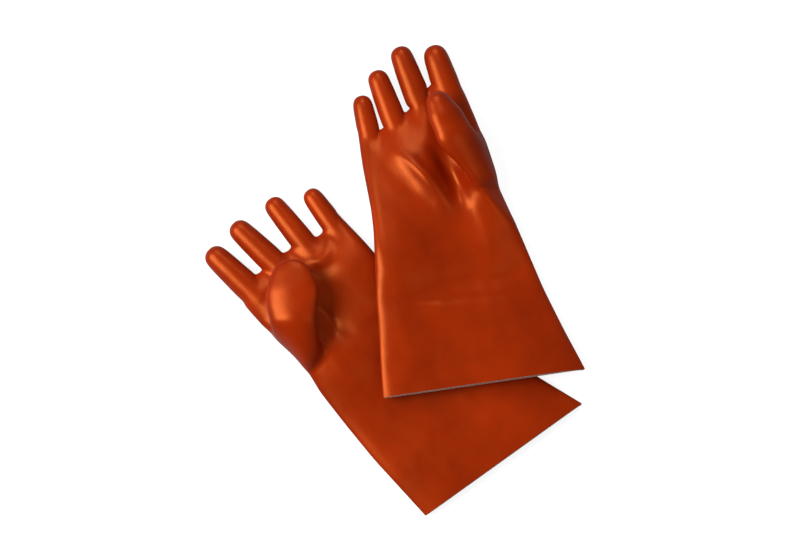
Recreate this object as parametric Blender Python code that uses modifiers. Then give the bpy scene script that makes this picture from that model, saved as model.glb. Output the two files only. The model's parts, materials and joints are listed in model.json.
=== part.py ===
"""A pair of rubber gauntlet gloves, palms up, with the right one lying across the cuff of the left one.

Each glove is a dipped rubber coat over a sewn knit liner, two thin skins one inside the other. Both are lofts:
rings of points run up the gauntlet and the palm, and ten-sided rings make the fingers and the thumb. The skin
flexes at the finger roots, so each stall, from its flex line to its tip, is a solid of its own that hinges on
the hand, with a notch on the palm side to bend into.

A glove's own frame has its origin at the middle of the cuff, +Y along the middle finger, +X towards the thumb
and +Z out of the palm. The left glove is the mirror image. Tables are in millimetres, and the model in metres.
"""

from dataclasses import dataclass
from math import cos, pi, radians, sin, tan

import bmesh
import bpy
from mathutils import Matrix, Vector

MM = 0.001

# Walls
COAT_WALL = 1.2
LINER_WALL = 0.5
LINER_INSET = 1.8  # from the outside of the coat to the outside of the liner

# The flex line of a finger
FLEX_GAP = 0.6  # between the hand's skin and the stall's skin
NOTCH_ANGLE = radians(40)  # each side of the palm-side notch leans away from the flex line by this
FINGER_FLEX = 17  # from a finger's root to its flex line

# The rings: a stall's ring has ten points, and a hand's ring has 34
STALL_POINTS = 10
HAND_POINTS = 34
THUMB_SIDE = HAND_POINTS // 2
EDGE_SHARE = 0.04  # how far the first top column stands from the side, as a share of the width
THUMB_SHARES = (0.78, 0.92, 1.0)  # the last three columns, which the thumb grows from
THUMB_ROWS = (5, 6, 7, 8)  # the stations that it grows from
SQUARENESS = 3.0  # power of the flattened oval of the gauntlet and palm
PRESSED = 0.8  # how far each skin's underside is pressed flat on the surface it lies on
CROTCH_ROUND = 6.0  # how far the crotches stand forward of the palm's top and underside
THUMB_LEAN = 0.1  # at the ring between the palm and the thumb's flex line: shares of the way across and up
THUMB_RISE = 0.3

# Where the middle of each cuff lies, and how far each glove turns outwards. The origin is the middle of them both
LEFT_CUFF, LEFT_TURN = (-9.44, -197.78), radians(16.75)
RIGHT_CUFF, RIGHT_TURN = (14.16, -128.18), radians(-17.4)

# The right gauntlet climbs onto the left one, which is thicker towards its palm
CLIMB_GAUNTLET = 14.0
CLIMB_PALM = 23.5
CLIMB_START = -75  # where it leaves the ground, from the left glove's little-finger side
CLIMB_END = 8

COAT_COLOUR = (0.36, 0.025, 0.004, 1)
LINER_COLOUR = (0.62, 0.42, 0.34, 1)


@dataclass
class Station:
    """One ring of the gauntlet or palm, between its side at the thumb and its side at the little finger."""

    thumb_side: tuple
    little_side: tuple
    thick: float


@dataclass
class Stall:
    """A finger or thumb from its flex line to its tip. A finger's root is the line between its two crotches."""

    name: str
    flex: tuple
    tip: tuple
    widths: tuple
    thicks: tuple
    roll: float = 0.0
    root: tuple = None

    def frame(self, side):
        """The stall's own frame in the glove's: origin on the flex line, +Y to the tip, +X along the hinge."""
        start, tip = (Vector((side * p[0], p[1], p[2])) * MM for p in (self.flex, self.tip))
        forward = (tip - start).normalized()
        across = forward.cross(Vector((0, 0, 1))).normalized()
        up = across.cross(forward)
        turned = Matrix((across, forward, up)).transposed().to_4x4()
        return Matrix.Translation(start) @ turned @ Matrix.Rotation(side * self.roll, 4, "Y")

    def length(self):
        return (Vector(self.tip) - Vector(self.flex)).length


def finger(name, little_side, thumb_side, tip, width):
    """A finger that lies on the table, from the two crotches it stands between to its tip."""
    thick = 0.84 * width
    height = thick / 2 - PRESSED
    root = Vector(((little_side[0] + thumb_side[0]) / 2, (little_side[1] + thumb_side[1]) / 2))
    flex = root + (Vector(tip) - root).normalized() * FINGER_FLEX
    return Stall(
        name,
        flex=(flex.x, flex.y, height),
        tip=(tip[0], tip[1], height),
        widths=(width, 0.98 * width, 0.9 * width),
        thicks=(thick, thick, 0.92 * thick),
        root=(little_side, thumb_side),
    )


STATIONS = {
    "left": (
        Station((93, 20), (-92, -22), 12),
        Station((89, 58), (-82, 28), 12),
        Station((85, 95), (-74, 72), 12),
        Station((78, 138), (-69, 120), 13.5),
        Station((71, 176), (-65, 165), 17),
        Station((64, 198), (-64, 193), 20),
        Station((60, 214), (-64, 209), 22),
        Station((58, 231), (-65, 226), 24),
        Station((58, 248), (-68, 243), 24),
    ),
    "right": (
        Station((99, -8), (-100, 12), 14),
        Station((86, 42), (-92, 56), 15),
        Station((77, 82), (-84, 99), 16),
        Station((70, 128), (-76, 137), 20),
        Station((64, 164), (-69, 171), 23),
        Station((61, 188), (-66, 193), 25),
        Station((60, 206), (-65, 210), 26),
        Station((59, 225), (-64, 227), 26),
        Station((58, 244), (-63, 244), 25),
    ),
}

STALLS = {
    "left": (
        finger("little", (-73, 274), (-46, 271), (-70, 320), 20),
        finger("ring", (-42, 272), (-12, 284), (-38, 342), 22),
        finger("middle", (-8, 286), (20, 290), (2, 353), 23.5),
        finger("index", (24, 291), (58, 278), (37, 353), 24.5),
        Stall("thumb", (38, 239, 43), (-1, 290, 44), (41, 48, 34), (23, 18, 13), radians(28)),
    ),
    "right": (
        finger("little", (-61, 266), (-39, 263), (-50, 310), 20),
        finger("ring", (-35, 264), (-9, 274), (-30, 331), 22.5),
        finger("middle", (-4, 277), (17, 293), (-2, 349), 23.5),
        finger("index", (21, 296), (53, 279), (31, 342), 24.5),
        Stall("thumb", (35, 238, 45), (12, 292, 44), (36, 36, 28), (21, 21, 19), radians(16)),
    ),
}
FINGERS = 4
RING_STATIONS = (0.0, 0.45, 0.8)  # how far along a stall its widths are given
TIP_ANGLES = (radians(35), radians(65))  # the rings that round off a tip


def clear_scene():
    for old in list(bpy.data.objects):
        bpy.data.objects.remove(old)


def material(name, colour, roughness):
    made = bpy.data.materials.new(name)
    made.use_nodes = True
    shader = made.node_tree.nodes["Principled BSDF"]
    shader.inputs["Base Color"].default_value = colour
    shader.inputs["Roughness"].default_value = roughness
    made.diffuse_color = colour
    return made


def smooth_step(low, high, value):
    share = min(1.0, max(0.0, (value - low) / (high - low)))
    return share * share * (3 - 2 * share)


def glove_frame(hand):
    """The glove's own frame, in the model's."""
    cuff, turn = (LEFT_CUFF, LEFT_TURN) if hand == "left" else (RIGHT_CUFF, RIGHT_TURN)
    return Matrix.Translation(Vector((*cuff, 0)) * MM) @ Matrix.Rotation(turn, 4, "Z")


def climb(hand, point):
    """How high the right gauntlet is carried at a point of the glove's frame, by the left one under it."""
    if hand == "left":
        return 0.0
    over_left = glove_frame("left").inverted() @ glove_frame("right") @ point
    x, y = over_left.x / MM, over_left.y / MM
    side = 92 - 28 * smooth_step(-22, 200, y)  # the left glove's little-finger side
    height = CLIMB_GAUNTLET + (CLIMB_PALM - CLIMB_GAUNTLET) * smooth_step(105, 215, y)
    return height * MM * smooth_step(CLIMB_START, CLIMB_END, side - x)


def column_share(column):
    """How far across the hand a column of points stands, from the little-finger side."""
    first_thumb = THUMB_SIDE + 1 - len(THUMB_SHARES)
    if column == 0:
        return 0.0
    if column >= first_thumb:
        return THUMB_SHARES[column - first_thumb]
    return EDGE_SHARE + (THUMB_SHARES[0] - EDGE_SHARE) * (column - 1) / (first_thumb - 1)


def hand_ring(station, side):
    """The ring of points round a station: the little-finger side, the top, the thumb side and the underside."""
    little, thumb = Vector(station.little_side), Vector(station.thumb_side)
    half = station.thick / 2
    points = []
    for k in range(HAND_POINTS):
        share = column_share(min(k, HAND_POINTS - k))
        x, y = little.lerp(thumb, share)
        bulge = (1 - abs(2 * share - 1) ** SQUARENESS) ** (1 / SQUARENESS)
        if k <= THUMB_SIDE:
            z = half + half * bulge
        else:
            z = max(0.0, half - (half + PRESSED) * bulge)
        points.append(Vector((side * x, y, z)) * MM)
    return points


def stall_ring(stall, side, along, widths, notch=0):
    """A ring round a stall, in the glove's frame. notch is 1 past the flex line, -1 before it and 0 elsewhere."""
    frame = stall.frame(side)
    floor = PRESSED - stall.thicks[0] / 2
    points = []
    for k in range(STALL_POINTS):
        angle = pi - 2 * pi * k / STALL_POINTS
        x = widths[0] / 2 * cos(angle)
        z = widths[1] / 2 * sin(angle)
        if stall.root:
            z = max(z, floor)
        y = along + notch * (FLEX_GAP / 2 + max(0.0, z) * tan(NOTCH_ANGLE))
        points.append(frame @ (Vector((side * x, y, z)) * MM))
    return points


def root_ring(stall, side):
    """The ring of a finger's root, which stands between its two crotches."""
    little, thumb = (Vector(p) for p in stall.root)
    middle = (little + thumb) / 2
    half_width = (thumb - little) / 2
    half_thick = stall.thicks[0] / 2
    points = []
    for k in range(STALL_POINTS):
        angle = pi - 2 * pi * k / STALL_POINTS
        x, y = middle + half_width * cos(angle)
        z = max(0.0, stall.flex[2] + half_thick * sin(angle))
        points.append(Vector((side * x, y - CROTCH_ROUND * abs(sin(angle)), z)) * MM)
    return points


def width_at(stall, share):
    """A stall's width and thickness a share of the way to its tip."""
    sizes = list(zip(stall.widths, stall.thicks))
    for k in range(len(sizes) - 1):
        low, high = RING_STATIONS[k : k + 2]
        if share <= high:
            t = (share - low) / (high - low)
            return [a + (b - a) * t for a, b in zip(sizes[k], sizes[k + 1])]
    return sizes[-1]


def bridge(bm, lower, upper):
    """Quads between two rings of the same number of points."""
    for k in range(len(lower)):
        n = (k + 1) % len(lower)
        bm.faces.new((lower[k], lower[n], upper[n], upper[k]))


def verts(bm, points):
    return [bm.verts.new(p) for p in points]


def hand_mesh(hand):
    """The open skin of a gauntlet and palm, with a short stub for each finger and the thumb."""
    side = 1 if hand == "right" else -1
    bm = bmesh.new()
    rows = [verts(bm, hand_ring(station, side)) for station in STATIONS[hand]]
    for row in range(len(rows) - 1):
        for k in range(HAND_POINTS):
            n = (k + 1) % HAND_POINTS
            if row not in THUMB_ROWS[:-1] or k not in (THUMB_SIDE - 2, THUMB_SIDE - 1):
                bm.faces.new((rows[row][k], rows[row][n], rows[row + 1][n], rows[row + 1][k]))

    thumb_loop = thumb_base(rows)
    roots = [verts(bm, root_ring(stall, side)) for stall in STALLS[hand][:FINGERS]]
    knuckles = knuckle_row(roots)
    bridge(bm, rows[-1], knuckles)
    for before, after in zip(roots, roots[1:]):
        crotch_web(bm, before, after)

    for stall, base in zip(STALLS[hand], roots + [thumb_loop]):
        end = verts(bm, stall_ring(stall, side, 0, (stall.widths[0], stall.thicks[0]), notch=-1))
        if stall.root is None:
            between = verts(bm, [risen(low.co, high.co) for low, high in zip(base, end)])
            bridge(bm, base, between)
            base = between
        bridge(bm, base, end)
    return bm


def risen(low, high):
    """A point between the thumb's base and its flex line, which rises before it leans over the palm."""
    point = low.lerp(high, THUMB_LEAN)
    point.z = low.z + (high.z - low.z) * THUMB_RISE
    return point


def knuckle_row(roots):
    """The hand's last ring, made of the finger roots' own points."""
    top, under = [], []
    for root in roots:
        top += root[1:5]
        under = root[6:10] + under
    return [roots[0][0]] + top + [roots[-1][5]] + under


def crotch_web(bm, before, after):
    """The two faces between neighbouring fingers, over and under their middle points."""
    bm.faces.new((before[4], after[1], after[0], before[5]))
    bm.faces.new((before[5], after[0], after[9], before[6]))


def thumb_base(rows):
    """The loop of ten points that the thumb grows from, in the order of a stall's ring: the wrist end, the hand's
    side, the finger end and the palm."""
    inner, middle, outer = THUMB_SIDE - 2, THUMB_SIDE - 1, THUMB_SIDE
    first, *between, last = (rows[r] for r in THUMB_ROWS)
    wrist_end = [first[inner], first[middle], first[outer]]
    finger_end = [last[outer], last[middle], last[inner]]
    return wrist_end + [r[outer] for r in between] + finger_end + [r[inner] for r in reversed(between)]


def stall_mesh(hand, stall):
    """The open skin of a stall, from its flex line to its rounded tip."""
    side = 1 if hand == "right" else -1
    bm = bmesh.new()
    length = stall.length()
    cap = stall.widths[-1] / 2
    rings = [stall_ring(stall, side, 0, width_at(stall, 0), notch=1)]
    for share in RING_STATIONS[1:]:
        along = share * (length - cap * 0.5)
        rings.append(stall_ring(stall, side, along, width_at(stall, share)))
    last = rings_of_tip(stall, side, length, cap)
    made = [verts(bm, ring) for ring in rings + last]
    for lower, upper in zip(made, made[1:]):
        bridge(bm, lower, upper)
    bm.faces.new(made[-1])
    return bm


def rings_of_tip(stall, side, length, cap):
    """Rings that shrink as a ball's do, so that the tip is round."""
    widths = stall.widths[-1], stall.thicks[-1]
    rings = []
    for angle in TIP_ANGLES:
        along = length - cap * (1 - sin(angle)) * 0.8
        shrunk = [w * cos(angle) for w in widths]
        rings.append(stall_ring(stall, side, along, shrunk))
    return rings


def skin(name, bm, inset, wall, finish, parent, frame, collection, hand):
    """The finished object: an open skin in its frame, moved in by the inset, with its wall built inwards."""
    if hand == "left":
        bmesh.ops.reverse_faces(bm, faces=bm.faces)
    for v in bm.verts:
        v.co.z += climb(hand, v.co)
    bm.transform(frame.inverted())
    bmesh.ops.triangulate(bm, faces=bm.faces, quad_method="FIXED")
    bm.normal_update()
    inwards = [-v.normal * inset * MM for v in bm.verts]
    for v, move in zip(bm.verts, inwards):
        v.co += move
    mesh = bpy.data.meshes.new(name)
    bm.to_mesh(mesh)
    bm.free()
    mesh.materials.append(finish)
    mesh.shade_smooth()
    made = bpy.data.objects.new(name, mesh)
    collection.objects.link(made)
    made.parent = parent
    thicken = made.modifiers.new("wall", "SOLIDIFY")
    thicken.thickness = wall * MM
    thicken.offset = -1
    return made


def empty(name, frame, parent, collection):
    made = bpy.data.objects.new(name, None)
    made.empty_display_size = 0.01
    collection.objects.link(made)
    made.parent = parent
    made.matrix_local = frame
    return made


def build_glove(hand, collection, finishes):
    """One glove: the hand's skins, then each stall's skins on an empty that stands on its flex line."""
    side = 1 if hand == "right" else -1
    glove = empty(f"{hand}_glove", glove_frame(hand), None, collection)
    layers = (("coat", COAT_WALL, 0.0), ("liner", LINER_WALL, LINER_INSET))
    for layer, wall, inset in layers:
        name = f"{hand}_hand_{layer}"
        bm = hand_mesh(hand)
        skin(name, bm, inset, wall, finishes[layer], glove, Matrix(), collection, hand)
    for stall in STALLS[hand]:
        frame = stall.frame(side)
        hinge = empty(f"{hand}_{stall.name}_flex", frame, glove, collection)
        for layer, wall, inset in layers:
            name = f"{hand}_{stall.name}_{layer}"
            bm = stall_mesh(hand, stall)
            skin(name, bm, inset, wall, finishes[layer], hinge, frame, collection, hand)


def main():
    clear_scene()
    collection = bpy.data.collections.new("rubber_gloves")
    bpy.context.scene.collection.children.link(collection)
    finishes = {
        "coat": material("dipped_rubber", COAT_COLOUR, 0.38),
        "liner": material("knit_cotton", LINER_COLOUR, 0.95),
    }
    for hand in ("left", "right"):
        build_glove(hand, collection, finishes)


main()
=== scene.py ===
# %% [markdown]
# # A pair of rubber gauntlet gloves
#
# Two long gloves lie palms up, and the right one lies across the cuff of the left one. Each glove is a
# knit liner that was pulled over a hand-shaped former and dipped in liquid rubber, so it has one seamless
# glossy skin outside and a cut-and-sewn knit inside. This lesson models that skin from rings of points,
# lets subdivision make it round, presses the creases in, and then gives it a wall and a lining.
#
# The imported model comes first. It says where each joint is, and every piece made here rides on one of its
# bodies.

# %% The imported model
import json
from dataclasses import dataclass
from math import atan2, cos, exp, pi, radians, sin

import bmesh
import bpy
import numpy as np
from mathutils import Matrix, Vector, noise
from mathutils.bvhtree import BVHTree


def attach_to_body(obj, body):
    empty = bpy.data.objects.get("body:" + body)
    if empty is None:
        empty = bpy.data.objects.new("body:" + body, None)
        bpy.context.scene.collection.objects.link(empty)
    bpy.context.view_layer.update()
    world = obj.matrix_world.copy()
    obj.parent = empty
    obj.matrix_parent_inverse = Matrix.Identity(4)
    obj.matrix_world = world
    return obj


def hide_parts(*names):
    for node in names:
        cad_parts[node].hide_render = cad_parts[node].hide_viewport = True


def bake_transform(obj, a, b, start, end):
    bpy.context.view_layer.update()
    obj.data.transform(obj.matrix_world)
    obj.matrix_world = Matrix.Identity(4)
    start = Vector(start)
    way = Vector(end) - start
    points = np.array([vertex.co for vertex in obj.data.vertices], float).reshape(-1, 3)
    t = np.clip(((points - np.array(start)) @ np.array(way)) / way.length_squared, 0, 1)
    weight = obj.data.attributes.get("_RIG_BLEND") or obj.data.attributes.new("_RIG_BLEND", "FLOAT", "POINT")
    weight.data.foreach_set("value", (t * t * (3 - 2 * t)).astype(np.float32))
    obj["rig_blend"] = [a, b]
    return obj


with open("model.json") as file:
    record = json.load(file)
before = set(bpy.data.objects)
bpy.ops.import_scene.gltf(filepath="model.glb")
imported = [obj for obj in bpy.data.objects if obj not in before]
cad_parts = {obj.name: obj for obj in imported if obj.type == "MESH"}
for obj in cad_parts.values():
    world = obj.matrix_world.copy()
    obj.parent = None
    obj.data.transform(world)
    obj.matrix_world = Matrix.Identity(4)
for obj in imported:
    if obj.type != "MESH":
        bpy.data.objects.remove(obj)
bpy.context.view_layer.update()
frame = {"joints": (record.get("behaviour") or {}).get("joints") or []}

MM = 0.001

# %% [markdown]
# ## What a glove is made from
#
# A glove's own frame has its origin at the middle of the cuff, +Y along the middle finger, +X towards the
# thumb and +Z out of the palm. Both gloves are described in that frame, and the left one is mirrored at
# the end.
#
# A `Station` is one cross-section of the gauntlet or palm. A `Stall` is a finger or the thumb, from the
# line it bends at, its flex line, to its tip. Everything is in millimetres, because that is how a glove is
# measured.


# %% Stations and stalls
@dataclass
class Station:
    """One ring of the gauntlet or palm, between its side at the thumb and its side at the little finger."""

    thumb_side: tuple
    little_side: tuple
    thick: float


@dataclass
class Stall:
    """A finger or thumb: where it bends, where it ends, and how wide and thick it is on the way."""

    name: str
    flex: Vector
    tip: Vector
    widths: tuple
    thicks: tuple
    roll: float = 0.0
    root: tuple = None

    def frame(self):
        """Origin on the flex line, +Y to the tip, +X towards the thumb's side and +Z out of the palm."""
        forward = (self.tip - self.flex).normalized()
        across = forward.cross(Vector((0, 0, 1))).normalized()
        turned = Matrix((across, forward, across.cross(forward))).transposed().to_4x4()
        return Matrix.Translation(self.flex) @ turned @ Matrix.Rotation(self.roll, 4, "Y")

    def length(self):
        return (self.tip - self.flex).length


PRESSED = 0.8  # how far an underside is pressed flat on the surface it lies on
FINGER_FLEX = 17  # from a finger's root to its flex line
FINGER_THICK = 0.84  # of its width
FINGER_WIDTHS = (1.1, 1.03, 0.94)  # at the flex line, halfway and at the tip
FINGER_THICKS = (1.04, 1.0, 0.92)


def finger(name, little_crotch, thumb_crotch, tip, width):
    """A finger that lies flat, between two crotches."""
    thick = FINGER_THICK * width
    height = thick / 2 - PRESSED
    root = (Vector(little_crotch) + Vector(thumb_crotch)) / 2
    flex = root + (Vector(tip) - root).normalized() * FINGER_FLEX
    return Stall(
        name,
        flex=Vector((*flex, height)),
        tip=Vector((*tip, height)),
        widths=tuple(share * width for share in FINGER_WIDTHS),
        thicks=tuple(share * thick for share in FINGER_THICKS),
        root=(little_crotch, thumb_crotch),
    )


# %% [markdown]
# The two gloves came off the same pair of formers, but rubber gloves take up a shape of their own once
# they've been folded into a box. The left thumb is squashed into a flat paddle that stands off the palm,
# and the right thumb is round and lies along it. So each glove has its own tables.

# %% The sizes of the two gloves
STATIONS = {
    "left": (
        Station((93, 21.5), (-91, -20), 12),
        Station((89, 58), (-82, 28), 12),
        Station((85, 95), (-74, 72), 12),
        Station((78, 138), (-69, 120), 13.5),
        Station((71, 176), (-65, 165), 17),
        Station((64, 198), (-64, 193), 20),
        Station((61, 214), (-64, 209), 22),
        Station((61, 231), (-65, 226), 24),
        Station((61, 248), (-68, 243), 24),
    ),
    "right": (
        Station((99, -8), (-100, 12), 14),
        Station((87.5, 42), (-92, 56), 15),
        Station((79, 82), (-84, 99), 16),
        Station((72, 128), (-76, 137), 20),
        Station((65.5, 164), (-69, 171), 23),
        Station((61, 188), (-66, 193), 25),
        Station((60, 206), (-65, 210), 26),
        Station((59, 225), (-64, 227), 26),
        Station((58, 244), (-63, 244), 25),
    ),
}
STALLS = {
    "left": (
        finger("little", (-73, 274), (-46, 271), (-70, 320), 20),
        finger("ring", (-42, 272), (-12, 284), (-38, 342), 22),
        finger("middle", (-8, 286), (20, 290), (4, 352), 23.5),
        finger("index", (24, 291), (58, 278), (39, 352), 25),
        Stall("thumb", Vector((39, 237, 43)), Vector((-5, 281, 43)), (48, 52, 40), (23, 18, 13), radians(6)),
    ),
    "right": (
        finger("little", (-61, 266), (-39, 263), (-49, 311), 20),
        finger("ring", (-35, 264), (-9, 274), (-29, 332), 22.5),
        finger("middle", (-4, 277), (17, 293), (-1, 350), 23.5),
        finger("index", (21, 296), (53, 279), (32, 343), 25),
        Stall("thumb", Vector((30, 238, 44)), Vector((19, 288, 44)), (43, 36, 26), (23, 22, 19), radians(16)),
    ),
}
FINGERS = 4
for hand, stalls in STALLS.items():
    print(hand, "stalls in mm:", {stall.name: round(stall.length()) for stall in stalls})

# %% [markdown]
# ## Where the gloves lie
#
# The model's hinges stand on the flex lines. Two of them, the little finger's and the index finger's, are
# enough to place a glove: the line between them gives its turn, and either one gives its position. Reading
# them from the model, and not typing them in again, keeps the skin on the joints.


# %% Glove frames from the hinges
def hinge_place(hand, name):
    joint = next(j for j in frame["joints"] if j["name"] == f"{hand}_{name}_flex")
    return Vector(joint["pos_m"])


def glove_place(hand):
    """The matrix that takes a point of the glove's own frame, in millimetres, to the model's frame."""
    side = 1 if hand == "right" else -1
    mirror = Matrix.Diagonal((side, 1, 1, 1))
    named = {stall.name: mirror @ stall.flex * MM for stall in STALLS[hand]}
    own = named["index"] - named["little"]
    there = hinge_place(hand, "index") - hinge_place(hand, "little")
    turn = Matrix.Rotation(atan2(there.y, there.x) - atan2(own.y, own.x), 4, "Z")
    origin = hinge_place(hand, "index") - turn @ named["index"]
    origin.z = 0
    return Matrix.Translation(origin) @ turn @ mirror @ Matrix.Scale(MM, 4)


PLACES = {hand: glove_place(hand) for hand in STALLS}
for hand, place in PLACES.items():
    print(hand, "cuff's middle in mm:", [round(c / MM, 1) for c in place.translation])

# %% [markdown]
# ## Rings
#
# A ring of the gauntlet has 34 points, because that is what the fingers need: each finger grows from ten
# points, and neighbours share none of them. A flattened oval gives the ring its shape. The oval's power
# says how square it is.


# %% The gauntlet's rings
HAND_POINTS = 34
THUMB_SIDE = HAND_POINTS // 2
THUMB_SHARES = (0.78, 0.92, 1.0)  # the last three columns, which the thumb grows from
THUMB_ROWS = 4
EDGE_SHARE = 0.04
SQUARENESS = 2.6
BETWEEN = 2  # rings between two stations of the gauntlet
SIDE_GROWTH = 2.9  # subdivision draws the sides in by about this


def smooth_step(low, high, value):
    share = min(1.0, max(0.0, (value - low) / (high - low)))
    return share * share * (3 - 2 * share)


def column_share(column):
    """How far across the hand a column of points stands, from the little-finger side."""
    first_thumb = THUMB_SIDE + 1 - len(THUMB_SHARES)
    if column == 0:
        return 0.0
    if column >= first_thumb:
        return THUMB_SHARES[column - first_thumb]
    return EDGE_SHARE + (THUMB_SHARES[0] - EDGE_SHARE) * (column - 1) / (first_thumb - 1)


def dense_stations(stations):
    """The stations with more of them along the gauntlet, where the table's are far apart."""
    rows = []
    last_wide = len(stations) - THUMB_ROWS
    for k, (low, high) in enumerate(zip(stations, stations[1:])):
        steps = BETWEEN + 1 if k < last_wide else 1
        for step in range(steps):
            t = step / steps
            sides = [
                tuple(a + (b - a) * t for a, b in zip(getattr(low, name), getattr(high, name)))
                for name in ("thumb_side", "little_side")
            ]
            rows.append(Station(*sides, low.thick + (high.thick - low.thick) * t))
    return rows + [stations[-1]]


# %% [markdown]
# ## Soft forms
#
# An empty glove isn't flat. The heel of the thumb swells, the palm dips beside it, and the gauntlet keeps
# a fold where it was bent. Broad forms like these are given to the rings, so that subdivision blends them
# into the skin. Each one is a hill or a hollow: a place, a reach in X and Y, and a height.

# %% Hills and hollows
HILLS = {
    "left": (
        ((40, 180), (20, 30), 4.0),
        ((-4, 222), (26, 26), -6.0),
        ((14, 205), (12, 22), -4.0),
        ((-42, 215), (16, 40), 2.5),
        ((-10, 130), (60, 20), -1.5),
        ((30, 60), (26, 50), 1.5),
        ((-40, 30), (30, 60), 1.5),
    ),
    "right": (
        ((50, 158), (13, 30), 7.0),
        ((40, 190), (12, 22), 8.0),
        ((18, 203), (10, 22), -11.0),
        ((-16, 231), (11, 13), 4.0),
        ((-6, 211), (11, 14), 7.0),
        ((5, 191), (11, 15), 5.5),
        ((-46, 215), (14, 45), -2.0),
        ((-2, 258), (50, 10), -2.0),
        ((-38, 258), (7, 6), 2.5),
        ((-9, 268), (8, 6), 2.5),
        ((0, 104), (90, 11), -3.0),
        ((0, 82), (90, 12), 2.0),
        ((-20, 30), (40, 40), 1.0),
    ),
}


def hill_height(hand, x, y):
    """How much the hills and hollows raise the top of the hand at a point."""
    total = 0.0
    for (cx, cy), (reach_x, reach_y), height in HILLS[hand]:
        total += height * exp(-(((x - cx) / reach_x) ** 2) - ((y - cy) / reach_y) ** 2)
    return total


def hand_ring(hand, station):
    """The points round a station: the little-finger side, the top, the thumb side and the underside."""
    little, thumb = Vector(station.little_side), Vector(station.thumb_side)
    outwards = (thumb - little).normalized() * SIDE_GROWTH
    little, thumb = little - outwards, thumb + outwards
    half = station.thick / 2
    points = []
    for k in range(HAND_POINTS):
        share = column_share(min(k, HAND_POINTS - k))
        x, y = little.lerp(thumb, share)
        bulge = (1 - abs(2 * share - 1) ** SQUARENESS) ** (1 / SQUARENESS)
        if k <= THUMB_SIDE:
            z = half + (half + hill_height(hand, x, y)) * bulge
        else:
            z = max(0.0, half - (half + PRESSED) * bulge)
        points.append(Vector((x, y, z)))
    return points


# %% [markdown]
# A stall's rings have ten points each. They start at the seam, which lies just behind the flex line, and
# close round the tip. Subdivision shrinks a ring of ten points to 94% of its size, so the rings are made
# that much larger.

# %% The stalls' rings
STALL_POINTS = 10
RING_GROWTH = 1 / 0.94
WIDTH_SHARES = (0.0, 0.45, 0.8)  # where along a stall its three sizes are
SEAM = {"finger": -13, "thumb": -4}  # from the flex line
ZONE = {"finger": (-10, 14), "thumb": (0, 24)}  # where the skin turns from the hand to the stall
ZONE_RINGS = 4
STRAIGHT_SHARES = (0.35, 0.7, 1.0)  # where the rings stand between the zone and the tip's cap
CAP_SHARE = 0.46  # the cap's length, as a share of the width at the tip
TIP_ANGLES = (radians(28), radians(52), radians(74))
CROTCH_ROUND = 6.0  # how far the middle of a root stands behind its crotches
WEB_GROWTH = 11.0  # subdivision draws the webs back by about this


def kind_of(stall):
    return "finger" if stall.root else "thumb"


def size_at(stall, along):
    """A stall's width and thickness at a distance from its flex line."""
    share = max(0.0, along / stall.length())
    sizes = list(zip(stall.widths, stall.thicks))
    for k in range(len(sizes) - 1):
        low, high = WIDTH_SHARES[k : k + 2]
        if share <= high:
            t = smooth_step(low, high, share)
            return [a + (b - a) * t for a, b in zip(sizes[k], sizes[k + 1])]
    return sizes[-1]


def stall_ring(stall, along, width, thick):
    """A ring round a stall at a distance from its flex line."""
    place = stall.frame()
    floor = PRESSED - stall.thicks[0] / 2
    points = []
    for k in range(STALL_POINTS):
        angle = pi - 2 * pi * k / STALL_POINTS
        z = thick / 2 * RING_GROWTH * sin(angle)
        if stall.root:
            z = max(z, floor)
        points.append(place @ Vector((width / 2 * RING_GROWTH * cos(angle), along, z)))
    return points


def stall_rings(stall):
    """All of a stall's rings, from its seam to its tip."""
    low, high = SEAM[kind_of(stall)], ZONE[kind_of(stall)][1]
    cap = CAP_SHARE * stall.widths[-1]
    end = stall.length()
    places = [low + (high - low) * k / ZONE_RINGS for k in range(ZONE_RINGS + 1)]
    straight = end - cap - high
    places += [high + straight * share for share in STRAIGHT_SHARES]
    rings = [stall_ring(stall, along, *size_at(stall, along)) for along in places]
    width, thick = size_at(stall, end)
    for angle in TIP_ANGLES:
        rings.append(stall_ring(stall, end - cap * (1 - sin(angle)), width * cos(angle), thick * cos(angle)))
    return rings


def root_ring(stall):
    """The ring that a finger grows from, which stands between its two crotches."""
    little, thumb = (Vector(p) for p in stall.root)
    middle, half_width = (little + thumb) / 2, (thumb - little) / 2
    points = []
    for k in range(STALL_POINTS):
        angle = pi - 2 * pi * k / STALL_POINTS
        x, y = middle + half_width * cos(angle)
        z = max(0.0, stall.flex.z + stall.thicks[0] / 2 * RING_GROWTH * sin(angle))
        points.append(Vector((x, y + WEB_GROWTH - (CROTCH_ROUND + WEB_GROWTH) * sin(angle) ** 2, z)))
    return points


# %% [markdown]
# ## From rings to a cage
#
# A circle makes the cuff's edge. Every ring after it is an extrusion of the last one's edges, whose new
# points move to their places. Bridging separate rings would also work, but an extrusion keeps each point's
# partner known, and a stall that leans over the palm would otherwise be at risk of a twist.

# %% Extruding a ring
PART = {"hand": 0, "little": 1, "ring": 2, "middle": 3, "index": 4, "thumb": 5}


def first_ring(bm, points):
    ring = bmesh.ops.create_circle(bm, segments=len(points), radius=1)["verts"]
    for vert, point in zip(ring, points):
        vert.co = point
    return ring


def edge_between(a, b):
    return next(e for e in a.link_edges if e.other_vert(a) == b)


def loop_edges(ring):
    return [edge_between(a, b) for a, b in zip(ring, ring[1:] + ring[:1])]


def next_ring(bm, ring, points, part):
    """Extrudes a closed ring and puts its new points where they go. The new faces belong to one part."""
    made = bmesh.ops.extrude_edge_only(bm, edges=loop_edges(ring))["geom"]
    fresh = {item for item in made if isinstance(item, bmesh.types.BMVert)}
    for item in made:
        if isinstance(item, bmesh.types.BMFace):
            item.material_index = PART[part]
    above = [next(e.other_vert(v) for e in v.link_edges if e.other_vert(v) in fresh) for v in ring]
    for vert, point in zip(above, points):
        vert.co = point
    return above


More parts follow.
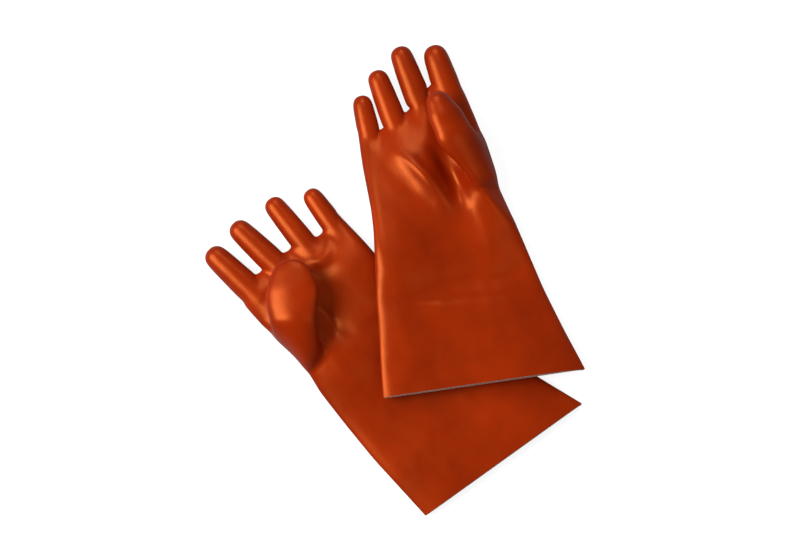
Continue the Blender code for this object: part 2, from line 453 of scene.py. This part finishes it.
# %% [markdown]
# The last ring of the palm is shared out among the four fingers. Its top and underside each have four
# points for every finger, and three webs of two faces each close the gaps between neighbours. The thumb
# needs a hole in the grid instead: two columns and three rows of faces come out, and the hole's ten points
# are its first ring.

# %% The webs and the thumb's hole
THUMB_LEAN, THUMB_RISE = 0.15, 0.5  # how far the ring below the thumb's seam has gone across and up
WEB_STEP = 1.8  # the least distance between a finger's first rings


def knuckle_points(roots):
    top, under = [], []
    for root in roots:
        top += root[1:5]
        under = root[6:10] + under
    return [roots[0][0]] + top + [roots[-1][5]] + under


def finger_loops(bm, knuckles, roots):
    """Closes the webs between the fingers, and gives each finger's loop of ten points."""
    loops = []
    for j in range(FINGERS):
        top = knuckles[1 + 4 * j : 5 + 4 * j]
        under_start = THUMB_SIDE + 1 + 4 * (FINGERS - 1 - j)
        loops.append([None] + top + [None] + knuckles[under_start : under_start + 4])
    loops[0][0], loops[-1][5] = knuckles[0], knuckles[THUMB_SIDE]
    for j, (before, after) in enumerate(zip(loops, loops[1:])):
        before[5] = bm.verts.new(roots[j][5])
        after[0] = bm.verts.new(roots[j + 1][0])
        bmesh.ops.contextual_create(bm, geom=[before[4], after[1], after[0], before[5]])
        bmesh.ops.contextual_create(bm, geom=[before[5], after[0], after[9], before[6]])
    return loops


def thumb_loop(bm, rows):
    """Opens the thumb's hole between four rows of the palm, and gives its loop of ten points."""
    inner, middle, outer = THUMB_SIDE - 2, THUMB_SIDE - 1, THUMB_SIDE
    inside = {v for row in rows for v in row[inner : outer + 1]}
    near = {*rows[1][middle].link_faces, *rows[2][middle].link_faces}
    bmesh.ops.delete(bm, geom=[f for f in near if inside.issuperset(f.verts)], context="FACES")
    first, *between, last = rows
    wrist_end = [first[inner], first[middle], first[outer]]
    finger_end = [last[outer], last[middle], last[inner]]
    return wrist_end + [r[outer] for r in between] + finger_end + [r[inner] for r in reversed(between)]


def risen(low, high):
    """A point between the thumb's base and its seam, which rises before it leans over the palm."""
    point = low.lerp(high, THUMB_LEAN)
    point.z = low.z + (high.z - low.z) * THUMB_RISE
    return point


def clear_of_webs(stall, rings, loop):
    """Keeps a finger's first rings in front of the root ring, so that the skin never folds back at a web."""
    place = stall.frame()
    back = place.inverted()
    for count, ring in enumerate(rings[: ZONE_RINGS + 1], start=1):
        for k, (point, start) in enumerate(zip(ring, loop)):
            local = back @ point
            local.y = max(local.y, (back @ start.co).y + WEB_STEP * count)
            ring[k] = place @ local


def grow_stall(bm, stall, loop):
    rings = stall_rings(stall)
    if stall.root:
        clear_of_webs(stall, rings, loop)
    if not stall.root:
        loop = next_ring(bm, loop, [risen(v.co, p) for v, p in zip(loop, rings[0])], "hand")
    loop = next_ring(bm, loop, rings[0], "hand")
    for points in rings[1:]:
        loop = next_ring(bm, loop, points, stall.name)
    tip = bmesh.ops.contextual_create(bm, geom=loop)["faces"]
    tip[0].material_index = PART[stall.name]


def glove_cage(hand):
    """The whole skin of a glove as a coarse cage, open at the cuff."""
    bm = bmesh.new()
    stations = dense_stations(STATIONS[hand])
    rows = [first_ring(bm, hand_ring(hand, stations[0]))]
    for station in stations[1:]:
        rows.append(next_ring(bm, rows[-1], hand_ring(hand, station), "hand"))
    roots = [root_ring(stall) for stall in STALLS[hand][:FINGERS]]
    knuckles = next_ring(bm, rows[-1], knuckle_points(roots), "hand")
    loops = finger_loops(bm, knuckles, roots)
    loops.append(thumb_loop(bm, rows[-THUMB_ROWS:]))
    for stall, loop in zip(STALLS[hand], loops):
        grow_stall(bm, stall, loop)
    bmesh.ops.recalc_face_normals(bm, faces=bm.faces)
    return bm


for hand in STALLS:
    cage = glove_cage(hand)
    open_edges = sum(1 for e in cage.edges if e.is_boundary)
    print(hand, "cage:", len(cage.faces), "faces,", open_edges, "open edges at the cuff")
    cage.free()

# %% [markdown]
# ## Subdivision, and the creases
#
# Three levels of subdivision turn each face of the cage into 64. The skin round the roots of the stalls is
# relaxed first, because the cage leaves it too sharp. Then it is fine enough for creases, which are narrow
# valleys along short paths: at the finger roots, beside the thumb and across the wrist. Each has a path, a
# width and a depth, and a negative depth makes a ridge. Noise that is stretched across the glove gives the
# slack of the gauntlet. Only the side that faces up is creased, because the side underneath is pressed
# flat by the glove's own weight.

# %% Creases
CREASES = {
    "left": (
        (((-16, 282), (-14, 271), (-29, 260), (-43, 268), (-46, 278)), 4.5, -1.5),
        (((-6, 266), (-16, 255), (-29, 250), (-46, 257)), 6.0, 1.4),
        (((22, 282), (36, 277), (48, 272)), 3.0, 0.8),
        (((30, 196), (14, 208), (10, 228), (16, 246)), 5.0, 2.0),
        (((-52, 186), (-20, 180), (14, 186)), 8.0, 0.7),
        (((-58, 150), (-25, 144), (18, 152), (50, 146)), 9.0, 0.8),
    ),
    "right": (
        (((0, 250), (12, 226), (20, 201), (28, 170)), 7.0, 4.2),
        (((28, 226), (38, 194), (52, 164), (74, 134)), 7.0, -3.6),
        (((-34, 252), (-20, 232), (-6, 207), (4, 182)), 6.5, -3.4),
        (((-80, 104), (-40, 93), (10, 84), (76, 76)), 4.0, 1.2),
        (((20, 98), (50, 102), (70, 98)), 8.0, 1.2),
        (((-62, 150), (-30, 142), (0, 146)), 8.0, 0.6),
    ),
}
RELAX_REACH = {"finger": 16, "thumb": 50}  # from the middle of the seam
RELAX_FADE = (0.5, 1.0)  # of that reach
RELAX_STOP = (250, 266)  # the webs between the fingers stay as they are
RELAX_STEP = 0.5
RELAX_ROUNDS = 96  # at three levels of subdivision. Each level fewer takes a quarter as many
SEAM_FADE = 30  # rounds of averaging, which make the creases fade out before a seam
SLACKS = ((1.1, 60, 90), (0.6, 26, 60), (0.25, 14, 30))  # heights, and reaches in X and Y
SLACK_STOP = (225, 262)
SLACK_SEEDS = {"left": 7.3, "right": 31.9}
FACING_UP = (0.1, 0.6)  # how much of a normal points up where the creases start, and where they are full


def ramps(low, high, values):
    """smooth_step for a whole array."""
    share = np.clip((values - low) / (high - low), 0, 1)
    return share * share * (3 - 2 * share)


def smooth_path(corners, steps=6):
    """A Catmull-Rom curve through the corners, as many short straight runs."""
    knots = np.array([corners[0], *corners, corners[-1]], float)
    t = np.linspace(0, 1, steps, endpoint=False)[:, None]
    runs = []
    for a, b, c, d in zip(knots, knots[1:], knots[2:], knots[3:]):
        runs.append(b + 0.5 * t * (c - a + t * (2 * a - 5 * b + 4 * c - d + t * (3 * (b - c) + d - a))))
    return np.concatenate((*runs, knots[-1:]))


def distance_to_path(points, corners):
    """How far each point is from a path across the glove, and the share of the path at the nearest spot."""
    nearest, share, path = np.full(len(points), np.inf), np.zeros(len(points)), smooth_path(corners)
    for k, (start, end) in enumerate(zip(path, path[1:])):
        run = end - start
        t = np.clip((points - start) @ run / (run @ run), 0, 1)
        far = np.linalg.norm(points - start - t[:, None] * run, axis=1)
        share = np.where(far < nearest, (k + t) / (len(path) - 1), share)
        nearest = np.minimum(nearest, far)
    return nearest, share


def crease_depths(hand, points):
    """How deep the creases are at each point."""
    depth = np.zeros(len(points))
    for path, width, deep in CREASES[hand]:
        far, share = distance_to_path(points, path)
        depth += deep * np.exp(-((far / width) ** 2)) * ramps(0, 0.5, 0.5 - np.abs(share - 0.5))
    return depth


def slack_heights(hand, points):
    """Low waves all over the gauntlet and palm, which no two gloves share."""
    seed, height = SLACK_SEEDS[hand], np.zeros(len(points))
    for deep, reach_x, reach_y in SLACKS:
        height += deep * np.array([noise.noise((x / reach_x, y / reach_y, seed)) for x, y in points])
    return height


def vertex_array(mesh, name):
    values = np.empty(len(mesh.vertices) * 3)
    mesh.vertices.foreach_get(name, values)
    return values.reshape(-1, 3)


def neighbour_mean(mesh):
    """A function that gives each point the mean of its neighbours' values."""
    edges = np.array([e.vertices[:] for e in mesh.edges])
    ends, others = np.concatenate((edges, edges[:, ::-1])).T
    counts = np.bincount(ends)

    def mean(values):
        return np.stack([np.bincount(ends, weights=column[others]) / counts for column in values.T], axis=1)

    return mean


def relax_roots(hand, mesh, rounds):
    """Evens out the skin around the thumb's root and the finger roots, which the cage leaves too sharp."""
    spots, mean = vertex_array(mesh, "co"), neighbour_mean(mesh)
    share = np.zeros(len(spots))
    for stall in STALLS[hand]:
        seam = stall.frame() @ Vector((0, SEAM[kind_of(stall)], 0))
        far = np.linalg.norm(spots - np.array(seam), axis=1)
        share = np.maximum(share, 1 - ramps(*RELAX_FADE, far / RELAX_REACH[kind_of(stall)]))
    share *= 1 - ramps(*RELAX_STOP, spots[:, 1])
    for _ in range(rounds):
        spots += (mean(spots) - spots) * share[:, None] * RELAX_STEP
    mesh.vertices.foreach_set("co", spots.ravel())
    mesh.update()


def away_from_stalls(mesh):
    """0 on the stalls and 1 on the hand, with a soft change over the first rows of points past each seam."""
    held = np.zeros((len(mesh.vertices), 1), bool)
    held[[v for f in mesh.polygons if f.material_index for v in f.vertices]] = True
    share, mean = np.where(held, 0.0, 1.0), neighbour_mean(mesh)
    for _ in range(SEAM_FADE):
        share = np.where(held, 0.0, mean(share))
    return share[:, 0]


def press_creases(hand, mesh):
    """Moves the upward skin of the hand along its normals, into the creases and by the slack."""
    spots, normals = vertex_array(mesh, "co"), vertex_array(mesh, "normal")
    facing = ramps(*FACING_UP, normals[:, 2]) * away_from_stalls(mesh)
    slack = slack_heights(hand, spots[:, :2]) * (1 - ramps(*SLACK_STOP, spots[:, 1]))
    moves = facing * (slack - crease_depths(hand, spots[:, :2]))
    mesh.vertices.foreach_set("co", (spots + normals * moves[:, None]).ravel())


# %% [markdown]
# ## How the right gauntlet climbs onto the left one
#
# The right gauntlet lies partly on the left glove and partly on the table. Every one of its points is
# raised by a height that depends on how far inside the left glove's outline it is. The rise is steep just
# outside the edge and level on top of it, as a heavy sheet would lie over a step.

# %% The climb
CLIMB_GAUNTLET, CLIMB_PALM = 14.0, 23.5  # how high it lies on the left gauntlet, and on the left palm
CLIMB_ROWS = (105, 215)  # where along the left glove the first height turns into the second
CLIMB_START, CLIMB_END = -75, 8  # from the left glove's little-finger side
SIDE_AT_CUFF, SIDE_AT_PALM, SIDE_ROWS = 92, 64, (-22, 200)  # where that side is


def climbs(points):
    """How high the left glove carries each of the right glove's points, all in millimetres."""
    to_left = np.array(PLACES["left"].inverted() @ PLACES["right"])
    over_left = points @ to_left[:3, :3].T + to_left[:3, 3]
    x, y = -over_left[:, 0], over_left[:, 1]
    side = SIDE_AT_CUFF + (SIDE_AT_PALM - SIDE_AT_CUFF) * ramps(*SIDE_ROWS, y)
    height = CLIMB_GAUNTLET + (CLIMB_PALM - CLIMB_GAUNTLET) * ramps(*CLIMB_ROWS, y)
    return height * ramps(CLIMB_START, CLIMB_END, side - x)


# %% The finished skin
def subdivided(bm, levels):
    """A mesh of a cage after subdivision."""
    mesh = bpy.data.meshes.new("cage")
    bm.to_mesh(mesh)
    bm.free()
    for _ in range(len(PART)):
        mesh.materials.append(None)
    holder = bpy.data.objects.new("cage", mesh)
    bpy.context.scene.collection.objects.link(holder)
    smoother = holder.modifiers.new("round", "SUBSURF")
    smoother.levels = smoother.render_levels = levels
    graph = bpy.context.evaluated_depsgraph_get()
    fine = bpy.data.meshes.new_from_object(holder.evaluated_get(graph))
    bpy.data.objects.remove(holder)
    bpy.data.meshes.remove(mesh)
    return fine


def glove_skin(hand, levels, past_cuff=0.0):
    """The outside of a glove as a bmesh in the model's frame, with each face's part in its material index."""
    mesh = subdivided(glove_cage(hand), levels)
    relax_roots(hand, mesh, RELAX_ROUNDS // 4 ** (3 - levels))
    press_creases(hand, mesh)
    if hand == "right":
        spots = vertex_array(mesh, "co")
        spots[:, 2] += climbs(spots)
        mesh.vertices.foreach_set("co", spots.ravel())
    bm = bmesh.new()
    bm.from_mesh(mesh)
    bpy.data.meshes.remove(mesh)
    for vert in bm.verts:
        vert.co.y -= past_cuff if vert.is_boundary else 0
    bmesh.ops.transform(bm, matrix=PLACES[hand], verts=bm.verts)
    bmesh.ops.recalc_face_normals(bm, faces=bm.faces)
    return bm


# %% [markdown]
# ## Rubber
#
# The dip is opaque and glossy, a brick red that leans to orange. It is thinner on the high spots, so the
# colour isn't quite even, and its surface has the faint pebbling of a thick coat that set on a knit.
# Patterns read Object coordinates, in metres, so a scale of 900 makes grains about a millimetre across.

# %% Node helpers
COAT_COLOURS = ((0.225, 0.0115, 0.0003, 1), (0.32, 0.0185, 0.0005, 1))
SHEEN_COLOUR = (1.0, 0.26, 0.06, 1)
LINER_COLOURS = ((0.48, 0.27, 0.21, 1), (0.68, 0.46, 0.38, 1))


def new_material(name):
    made = bpy.data.materials.new(name)
    made.use_nodes = True
    return made, made.node_tree, made.node_tree.nodes["Principled BSDF"]


def add_noise(tree, scale, detail=4.0, stretch=(1, 1, 1)):
    """A noise texture on Object coordinates, and its value's socket."""
    coordinates = tree.nodes.new("ShaderNodeTexCoord")
    mapping = tree.nodes.new("ShaderNodeMapping")
    mapping.inputs["Scale"].default_value = stretch
    texture = tree.nodes.new("ShaderNodeTexNoise")
    texture.inputs["Scale"].default_value = scale
    texture.inputs["Detail"].default_value = detail
    tree.links.new(coordinates.outputs["Object"], mapping.inputs["Vector"])
    tree.links.new(mapping.outputs["Vector"], texture.inputs["Vector"])
    return texture.outputs["Fac"]


def add_ramp(tree, value, low, high, colours):
    """Colours between two values of a socket."""
    ramp = tree.nodes.new("ShaderNodeValToRGB")
    first, last = ramp.color_ramp.elements
    first.position, last.position = low, high
    first.color, last.color = colours
    tree.links.new(value, ramp.inputs["Fac"])
    return ramp.outputs["Color"]


def add_range(tree, value, low, high):
    """A socket's 0 to 1 spread over another range."""
    node = tree.nodes.new("ShaderNodeMapRange")
    node.inputs["To Min"].default_value = low
    node.inputs["To Max"].default_value = high
    tree.links.new(value, node.inputs["Value"])
    return node.outputs["Result"]


def add_bump(tree, height, distance, strength, under=None):
    """A bump node on a height socket, over another bump's normal if one is given."""
    node = tree.nodes.new("ShaderNodeBump")
    node.inputs["Distance"].default_value = distance
    node.inputs["Strength"].default_value = strength
    tree.links.new(height, node.inputs["Height"])
    if under:
        tree.links.new(under, node.inputs["Normal"])
    return node.outputs["Normal"]


# %% The dipped rubber
def rubber():
    made, tree, shader = new_material("dipped_rubber")
    cloud = add_noise(tree, 22, detail=5)
    grain = add_noise(tree, 900, detail=2)
    ripple = add_noise(tree, 130, detail=3, stretch=(1, 0.5, 1))
    tree.links.new(add_ramp(tree, cloud, 0.32, 0.68, COAT_COLOURS), shader.inputs["Base Color"])
    tree.links.new(add_range(tree, ripple, 0.25, 0.40), shader.inputs["Roughness"])
    normal = add_bump(tree, ripple, 0.0006, 0.25)
    normal = add_bump(tree, grain, 0.0001, 0.35, under=normal)
    tree.links.new(normal, shader.inputs["Normal"])
    shader.inputs["Specular IOR Level"].default_value = 0.9
    shader.inputs["Specular Tint"].default_value = SHEEN_COLOUR
    return made


# %% [markdown]
# ## The liner
#
# The liner is a fine cotton knit that shows only in the mouth of the cuff and as a thin line where it was
# cut. Two waves across each other, one along the courses of the knit and one along its columns, make its
# small loops.


# %% The knit
def add_wave(tree, scale, direction):
    coordinates = tree.nodes.new("ShaderNodeTexCoord")
    texture = tree.nodes.new("ShaderNodeTexWave")
    texture.bands_direction = direction
    texture.inputs["Scale"].default_value = scale
    texture.inputs["Distortion"].default_value = 1.5
    texture.inputs["Detail Scale"].default_value = 2.0
    tree.links.new(coordinates.outputs["Object"], texture.inputs["Vector"])
    return texture.outputs["Fac"]


def knit():
    made, tree, shader = new_material("knit_cotton")
    product = tree.nodes.new("ShaderNodeMath")
    product.operation = "MULTIPLY"
    tree.links.new(add_wave(tree, 230, "X"), product.inputs[0])
    tree.links.new(add_wave(tree, 170, "Y"), product.inputs[1])
    loops = product.outputs["Value"]
    tree.links.new(add_ramp(tree, loops, 0.0, 0.6, LINER_COLOURS), shader.inputs["Base Color"])
    tree.links.new(add_bump(tree, loops, 0.0004, 0.8), shader.inputs["Normal"])
    shader.inputs["Roughness"].default_value = 0.95
    shader.inputs["Sheen Weight"].default_value = 0.3
    return made


coat_finish, liner_finish = rubber(), knit()
print("finishes:", coat_finish.name, liner_finish.name)

# %% [markdown]
# ## Walls
#
# The skin is a surface with no thickness. The coat gets its wall inwards from it, and the liner starts
# where that wall ends. The skin is first divided at its seams, so that each stall can bend on its own, and
# every part keeps the normals that the whole skin had. That makes the seams disappear, because light falls
# across them evenly.

# %% Dividing the skin and giving it a wall
COAT_WALL = 1.2
LINER_START, LINER_WALL = 1.5, 0.6
LINER_SHOWS = 0.35  # how far the liner stands out past the coat's cut edge
FULL_DEPTH = LINER_START + LINER_WALL
ROOM_SHARE = 0.4  # where the glove is thin, coat and liner take no more than this share of it from each side
MOST_ROOM = 30
CLEAR = 0.01  # how far behind the skin the measuring starts
FACES_SKIN = 0.5  # how well a face lines up with the skin before it counts as a cut edge


def measure_skin(skin):
    """Keeps each point's normal, and how much room there is behind it, for the copies of the skin."""
    normal_layer = skin.verts.layers.float_vector.new("skin_normal")
    room_layer = skin.verts.layers.float.new("room")
    skin.normal_update()
    tree = BVHTree.FromBMesh(skin)
    for vert in skin.verts:
        start = vert.co - vert.normal * CLEAR * MM
        distance = tree.ray_cast(start, -vert.normal, MOST_ROOM * MM)[3]
        vert[normal_layer], vert[room_layer] = vert.normal, (distance or MOST_ROOM * MM) / MM


def part_of(skin, part):
    """A copy of the skin with only one part's faces."""
    bm = skin.copy()
    others = [f for f in bm.faces if f.material_index != PART[part]]
    bmesh.ops.delete(bm, geom=others, context="FACES")
    return bm


def keep_normals(mesh):
    """Shades both sides of the wall with the whole skin's normals, and its cut edges with their own."""
    count = len(mesh.loops)
    skin_normals = np.empty(len(mesh.vertices) * 3, np.float32)
    mesh.attributes["skin_normal"].data.foreach_get("vector", skin_normals)
    corner_verts = np.empty(count, int)
    mesh.loops.foreach_get("vertex_index", corner_verts)
    faces = np.repeat(np.arange(len(mesh.polygons)), [f.loop_total for f in mesh.polygons])
    face_normals = np.empty(len(mesh.polygons) * 3, np.float32)
    mesh.polygons.foreach_get("normal", face_normals)
    own = face_normals.reshape(-1, 3)[faces]
    skin = skin_normals.reshape(-1, 3)[corner_verts]
    along = (own * skin).sum(axis=1)[:, None]
    mesh.normals_split_custom_set(np.where(abs(along) > FACES_SKIN, skin * np.sign(along), own))


def walled(name, skin, part, inset, wall, finish):
    """A part of the skin, moved inwards by the inset and given a wall, as a finished object."""
    bm = part_of(skin, part)
    normal_layer, room_layer = bm.verts.layers.float_vector["skin_normal"], bm.verts.layers.float["room"]
    inner_side = set(bm.verts)
    bmesh.ops.extrude_face_region(bm, geom=list(bm.faces), use_keep_orig=True)
    for vert in bm.verts:
        deep = inset + wall if vert in inner_side else inset
        vert.co -= vert[normal_layer] * min(deep, deep / FULL_DEPTH * ROOM_SHARE * vert[room_layer]) * MM
    bmesh.ops.recalc_face_normals(bm, faces=bm.faces)
    for face in bm.faces:
        face.material_index, face.smooth = 0, True
    mesh = bpy.data.meshes.new(name)
    bm.to_mesh(mesh)
    bm.free()
    mesh.materials.append(finish)
    keep_normals(mesh)
    made = bpy.data.objects.new(name, mesh)
    bpy.context.scene.collection.objects.link(made)
    return made


# %% Making the pieces
def attach(piece, hand, stall, node):
    """Makes a piece follow the hand, or turn with the skin from the hand to its stall."""
    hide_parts(node)
    if stall is None:
        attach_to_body(piece, f"{hand}_glove")
        return
    low, high = ZONE[kind_of(stall)]
    place = PLACES[hand] @ stall.frame()
    rise = Vector((0, 0, climbs(np.array([stall.flex]))[0] * MM if hand == "right" else 0))
    start, end = (place @ Vector((0, along, 0)) + rise for along in (low, high))
    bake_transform(piece, f"{hand}_glove", f"{hand}_{stall.name}", start=start, end=end)


def glove(hand):
    made = []
    for layer, levels, inset, wall, past_cuff, finish, slot in (
        ("coat", 3, 0.0, COAT_WALL, 0.0, coat_finish, "rubber_coat"),
        ("liner", 2, LINER_START, LINER_WALL, LINER_SHOWS, liner_finish, "knit_liner"),
    ):
        skin = glove_skin(hand, levels, past_cuff)
        measure_skin(skin)
        for stall in (None, *STALLS[hand]):
            part = stall.name if stall else "hand"
            node = f"{hand}_{part}_{layer}"
            piece = walled(f"{node}_skin", skin, part, inset, wall, finish)
            attach(piece, hand, stall, node)
            made.append(piece)
        skin.free()
    return made


for hand in STALLS:
    pieces = glove(hand)
    triangles = sum(len(p.data.loops) - 2 * len(p.data.polygons) for p in pieces)
    print(hand, "glove:", len(pieces), "pieces,", triangles, "triangles")

# %% [markdown]
# ## The floor, the light and the camera
#
# A pale floor and large soft lights suit a glossy object: the highlights are broad, and the shadows have
# no edge. The floor's own glow is for the camera only. The gloves' steep sides would mirror it as a white
# haze.

# %% Floor
FLOOR_SIZE = 4  # metres from the middle to each side
FLOOR_DROP = 0.2 * MM
FLOOR_GREY, FLOOR_GLOW = (0.3, 0.3, 0.3, 1), (0.85, 0.85, 0.85, 1)
bm = bmesh.new()
bmesh.ops.create_grid(bm, x_segments=1, y_segments=1, size=FLOOR_SIZE)
floor_mesh = bpy.data.meshes.new("floor")
bm.to_mesh(floor_mesh)
bm.free()
floor = bpy.data.objects.new("floor", floor_mesh)
bpy.context.scene.collection.objects.link(floor)
paper, paper_tree, paper_shader = new_material("pale_paper")
paper_shader.inputs["Base Color"].default_value = FLOOR_GREY
paper_shader.inputs["Roughness"].default_value = 0.9
paper_shader.inputs["Emission Color"].default_value = FLOOR_GLOW
paper_rays = paper_tree.nodes.new("ShaderNodeLightPath")
paper_tree.links.new(paper_rays.outputs["Is Camera Ray"], paper_shader.inputs["Emission Strength"])
floor_mesh.materials.append(paper)
floor.location.z = -FLOOR_DROP

# %% Light
world = bpy.data.worlds.new("studio")
bpy.context.scene.world = world
world.use_nodes = True
world.node_tree.nodes["Background"].inputs["Color"].default_value = (1, 1, 1, 1)
world.node_tree.nodes["Background"].inputs["Strength"].default_value = 0.22
bpy.context.scene.view_settings.view_transform = "Standard"

VIEW_UP = Vector((0.522, 0.853, 0))
VIEW_RIGHT = Vector((0.853, -0.522, 0))


def soft_light(name, right, up, height, size, power):
    """A square area light that faces the gloves, placed to the right of them and up in the camera's view."""
    data = bpy.data.lights.new(name, "AREA")
    data.size, data.energy = size, power
    made = bpy.data.objects.new(name, data)
    made.location = VIEW_RIGHT * right + VIEW_UP * up + Vector((0, 0, height))
    made.rotation_euler = (-made.location).to_track_quat("-Z", "Y").to_euler()
    bpy.context.scene.collection.objects.link(made)


soft_light("key", -1.4, 0.0, 1.5, 1.2, 48)
soft_light("top", -0.2, 1.6, 1.6, 0.9, 12)
soft_light("fill", 1.3, -0.3, 1.8, 1.2, 4)

# %% Camera
TARGET = Vector((-0.0026, 0.0057, 0))
DISTANCE, FRAME_WIDTH, ELEVATION = 2.0, 0.786, radians(81)
camera_data = bpy.data.cameras.new("camera")
camera_data.lens = camera_data.sensor_width * DISTANCE / FRAME_WIDTH
camera = bpy.data.objects.new("camera", camera_data)
back = Vector((0, 0, sin(ELEVATION))) - VIEW_UP * cos(ELEVATION)
camera.location = TARGET + back * DISTANCE
camera.rotation_euler = (-back).to_track_quat("-Z", "Y").to_euler()
bpy.context.scene.collection.objects.link(camera)
bpy.context.scene.camera = camera
